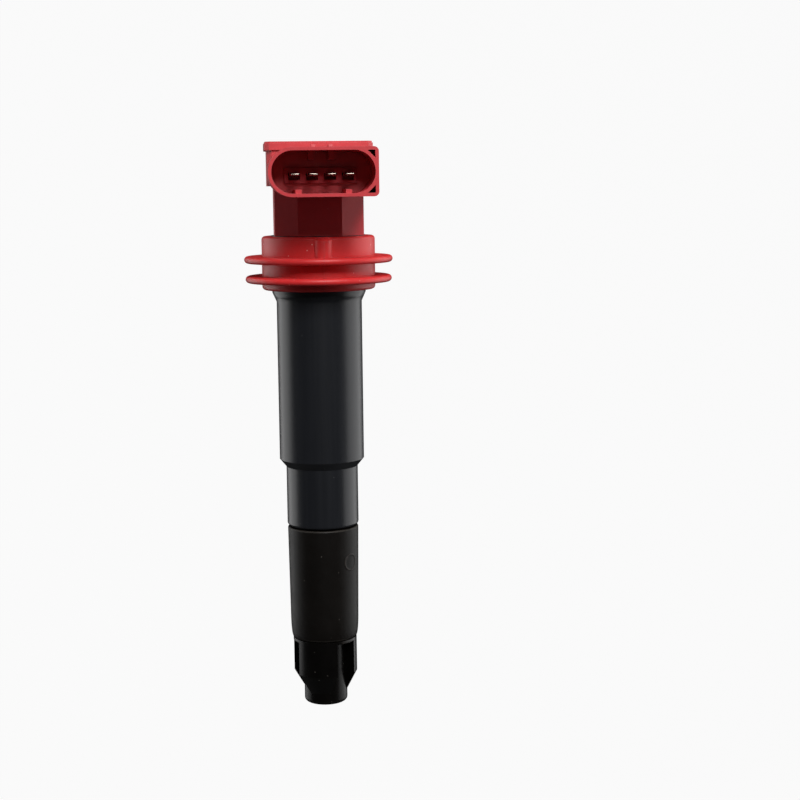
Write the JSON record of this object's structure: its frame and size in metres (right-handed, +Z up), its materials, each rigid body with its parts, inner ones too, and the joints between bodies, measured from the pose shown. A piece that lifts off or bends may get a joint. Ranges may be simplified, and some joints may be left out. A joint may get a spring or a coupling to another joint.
{
  "type": "ignition coil",
  "caption": "Plug-top pencil ignition coil: red bolted head with a hooded connector, two-lip well seal, slim dark coil tube and pull-off rubber plug boot.",
  "frame": {"origin": "on the coil's axis, at the top of the straight tube under the well seal", "axes": "+Z up along the coil towards the head, -Y out of the connector's mouth, +Y towards the mounting ear"},
  "size_m": [0.0434, 0.0747, 0.167],
  "materials": {
    "housing_red": "fine satin moulding",
    "tinned_bronze": "tin plated, satin",
    "zinc_steel": "rolled, zinc plated",
    "black_resin": "cast, glossy",
    "ceramic_board": "matte",
    "moulding_compound": "matte",
    "spreader_aluminium": "satin",
    "enamelled_copper": "enamelled",
    "red_silicone": "soft satin",
    "tube_plastic": "smooth satin",
    "electrical_steel": "rolled sheet",
    "bobbin_plastic": "matte",
    "fine_copper": "enamelled",
    "shrink_sleeve": "matte",
    "magnet": "nickel plated",
    "buffer_rubber": "matte",
    "contact_brass": "satin",
    "resistor_ceramic": "matte",
    "spring_steel": "bright",
    "boot_rubber": "matte",
    "nozzle_rubber": "satin"
  },
  "bodies": {
    "coil": {"head_housing": "housing_red", "terminal_carrier": "housing_red", "terminal_pin_1": "tinned_bronze", "terminal_pin_2": "tinned_bronze", "terminal_pin_3": "tinned_bronze", "terminal_pin_4": "tinned_bronze", "mount_bushing": "zinc_steel", "potting_resin": "black_resin", "driver_board": "ceramic_board", "power_module": "moulding_compound", "heat_spreader": "spreader_aluminium", "primary_leads": "enamelled_copper", "well_seal": "red_silicone", "coil_tube": "tube_plastic", "outer_core": "electrical_steel", "primary_bobbin": "bobbin_plastic", "primary_winding": "enamelled_copper", "secondary_bobbin": "bobbin_plastic", "secondary_winding": "fine_copper", "central_core": "electrical_steel", "core_sleeve": "shrink_sleeve", "upper_magnet": "magnet", "lower_magnet": "magnet", "upper_buffer": "buffer_rubber", "lower_buffer": "buffer_rubber", "neck_resin": "black_resin", "high_voltage_diode": "moulding_compound", "high_voltage_cup": "contact_brass", "suppressor_resistor": "resistor_ceramic", "contact_spring": "spring_steel"},
    "boot": {"boot_sleeve": "boot_rubber", "plug_nozzle": "nozzle_rubber"},
    "contact": {"contact_cap": "spring_steel"}
  },
  "joints": [
    {"name": "boot_pull", "type": "slide", "parent": "coil", "child": "boot", "axis": [0, 0, -1], "range_m": [0, 0.022]},
    {"name": "contact_press", "type": "slide", "parent": "coil", "child": "contact", "axis": [0, 0, 1], "range_m": [0, 0.005], "stiffness_N_per_m": 900, "deforming": ["contact_spring"]}
  ]
}
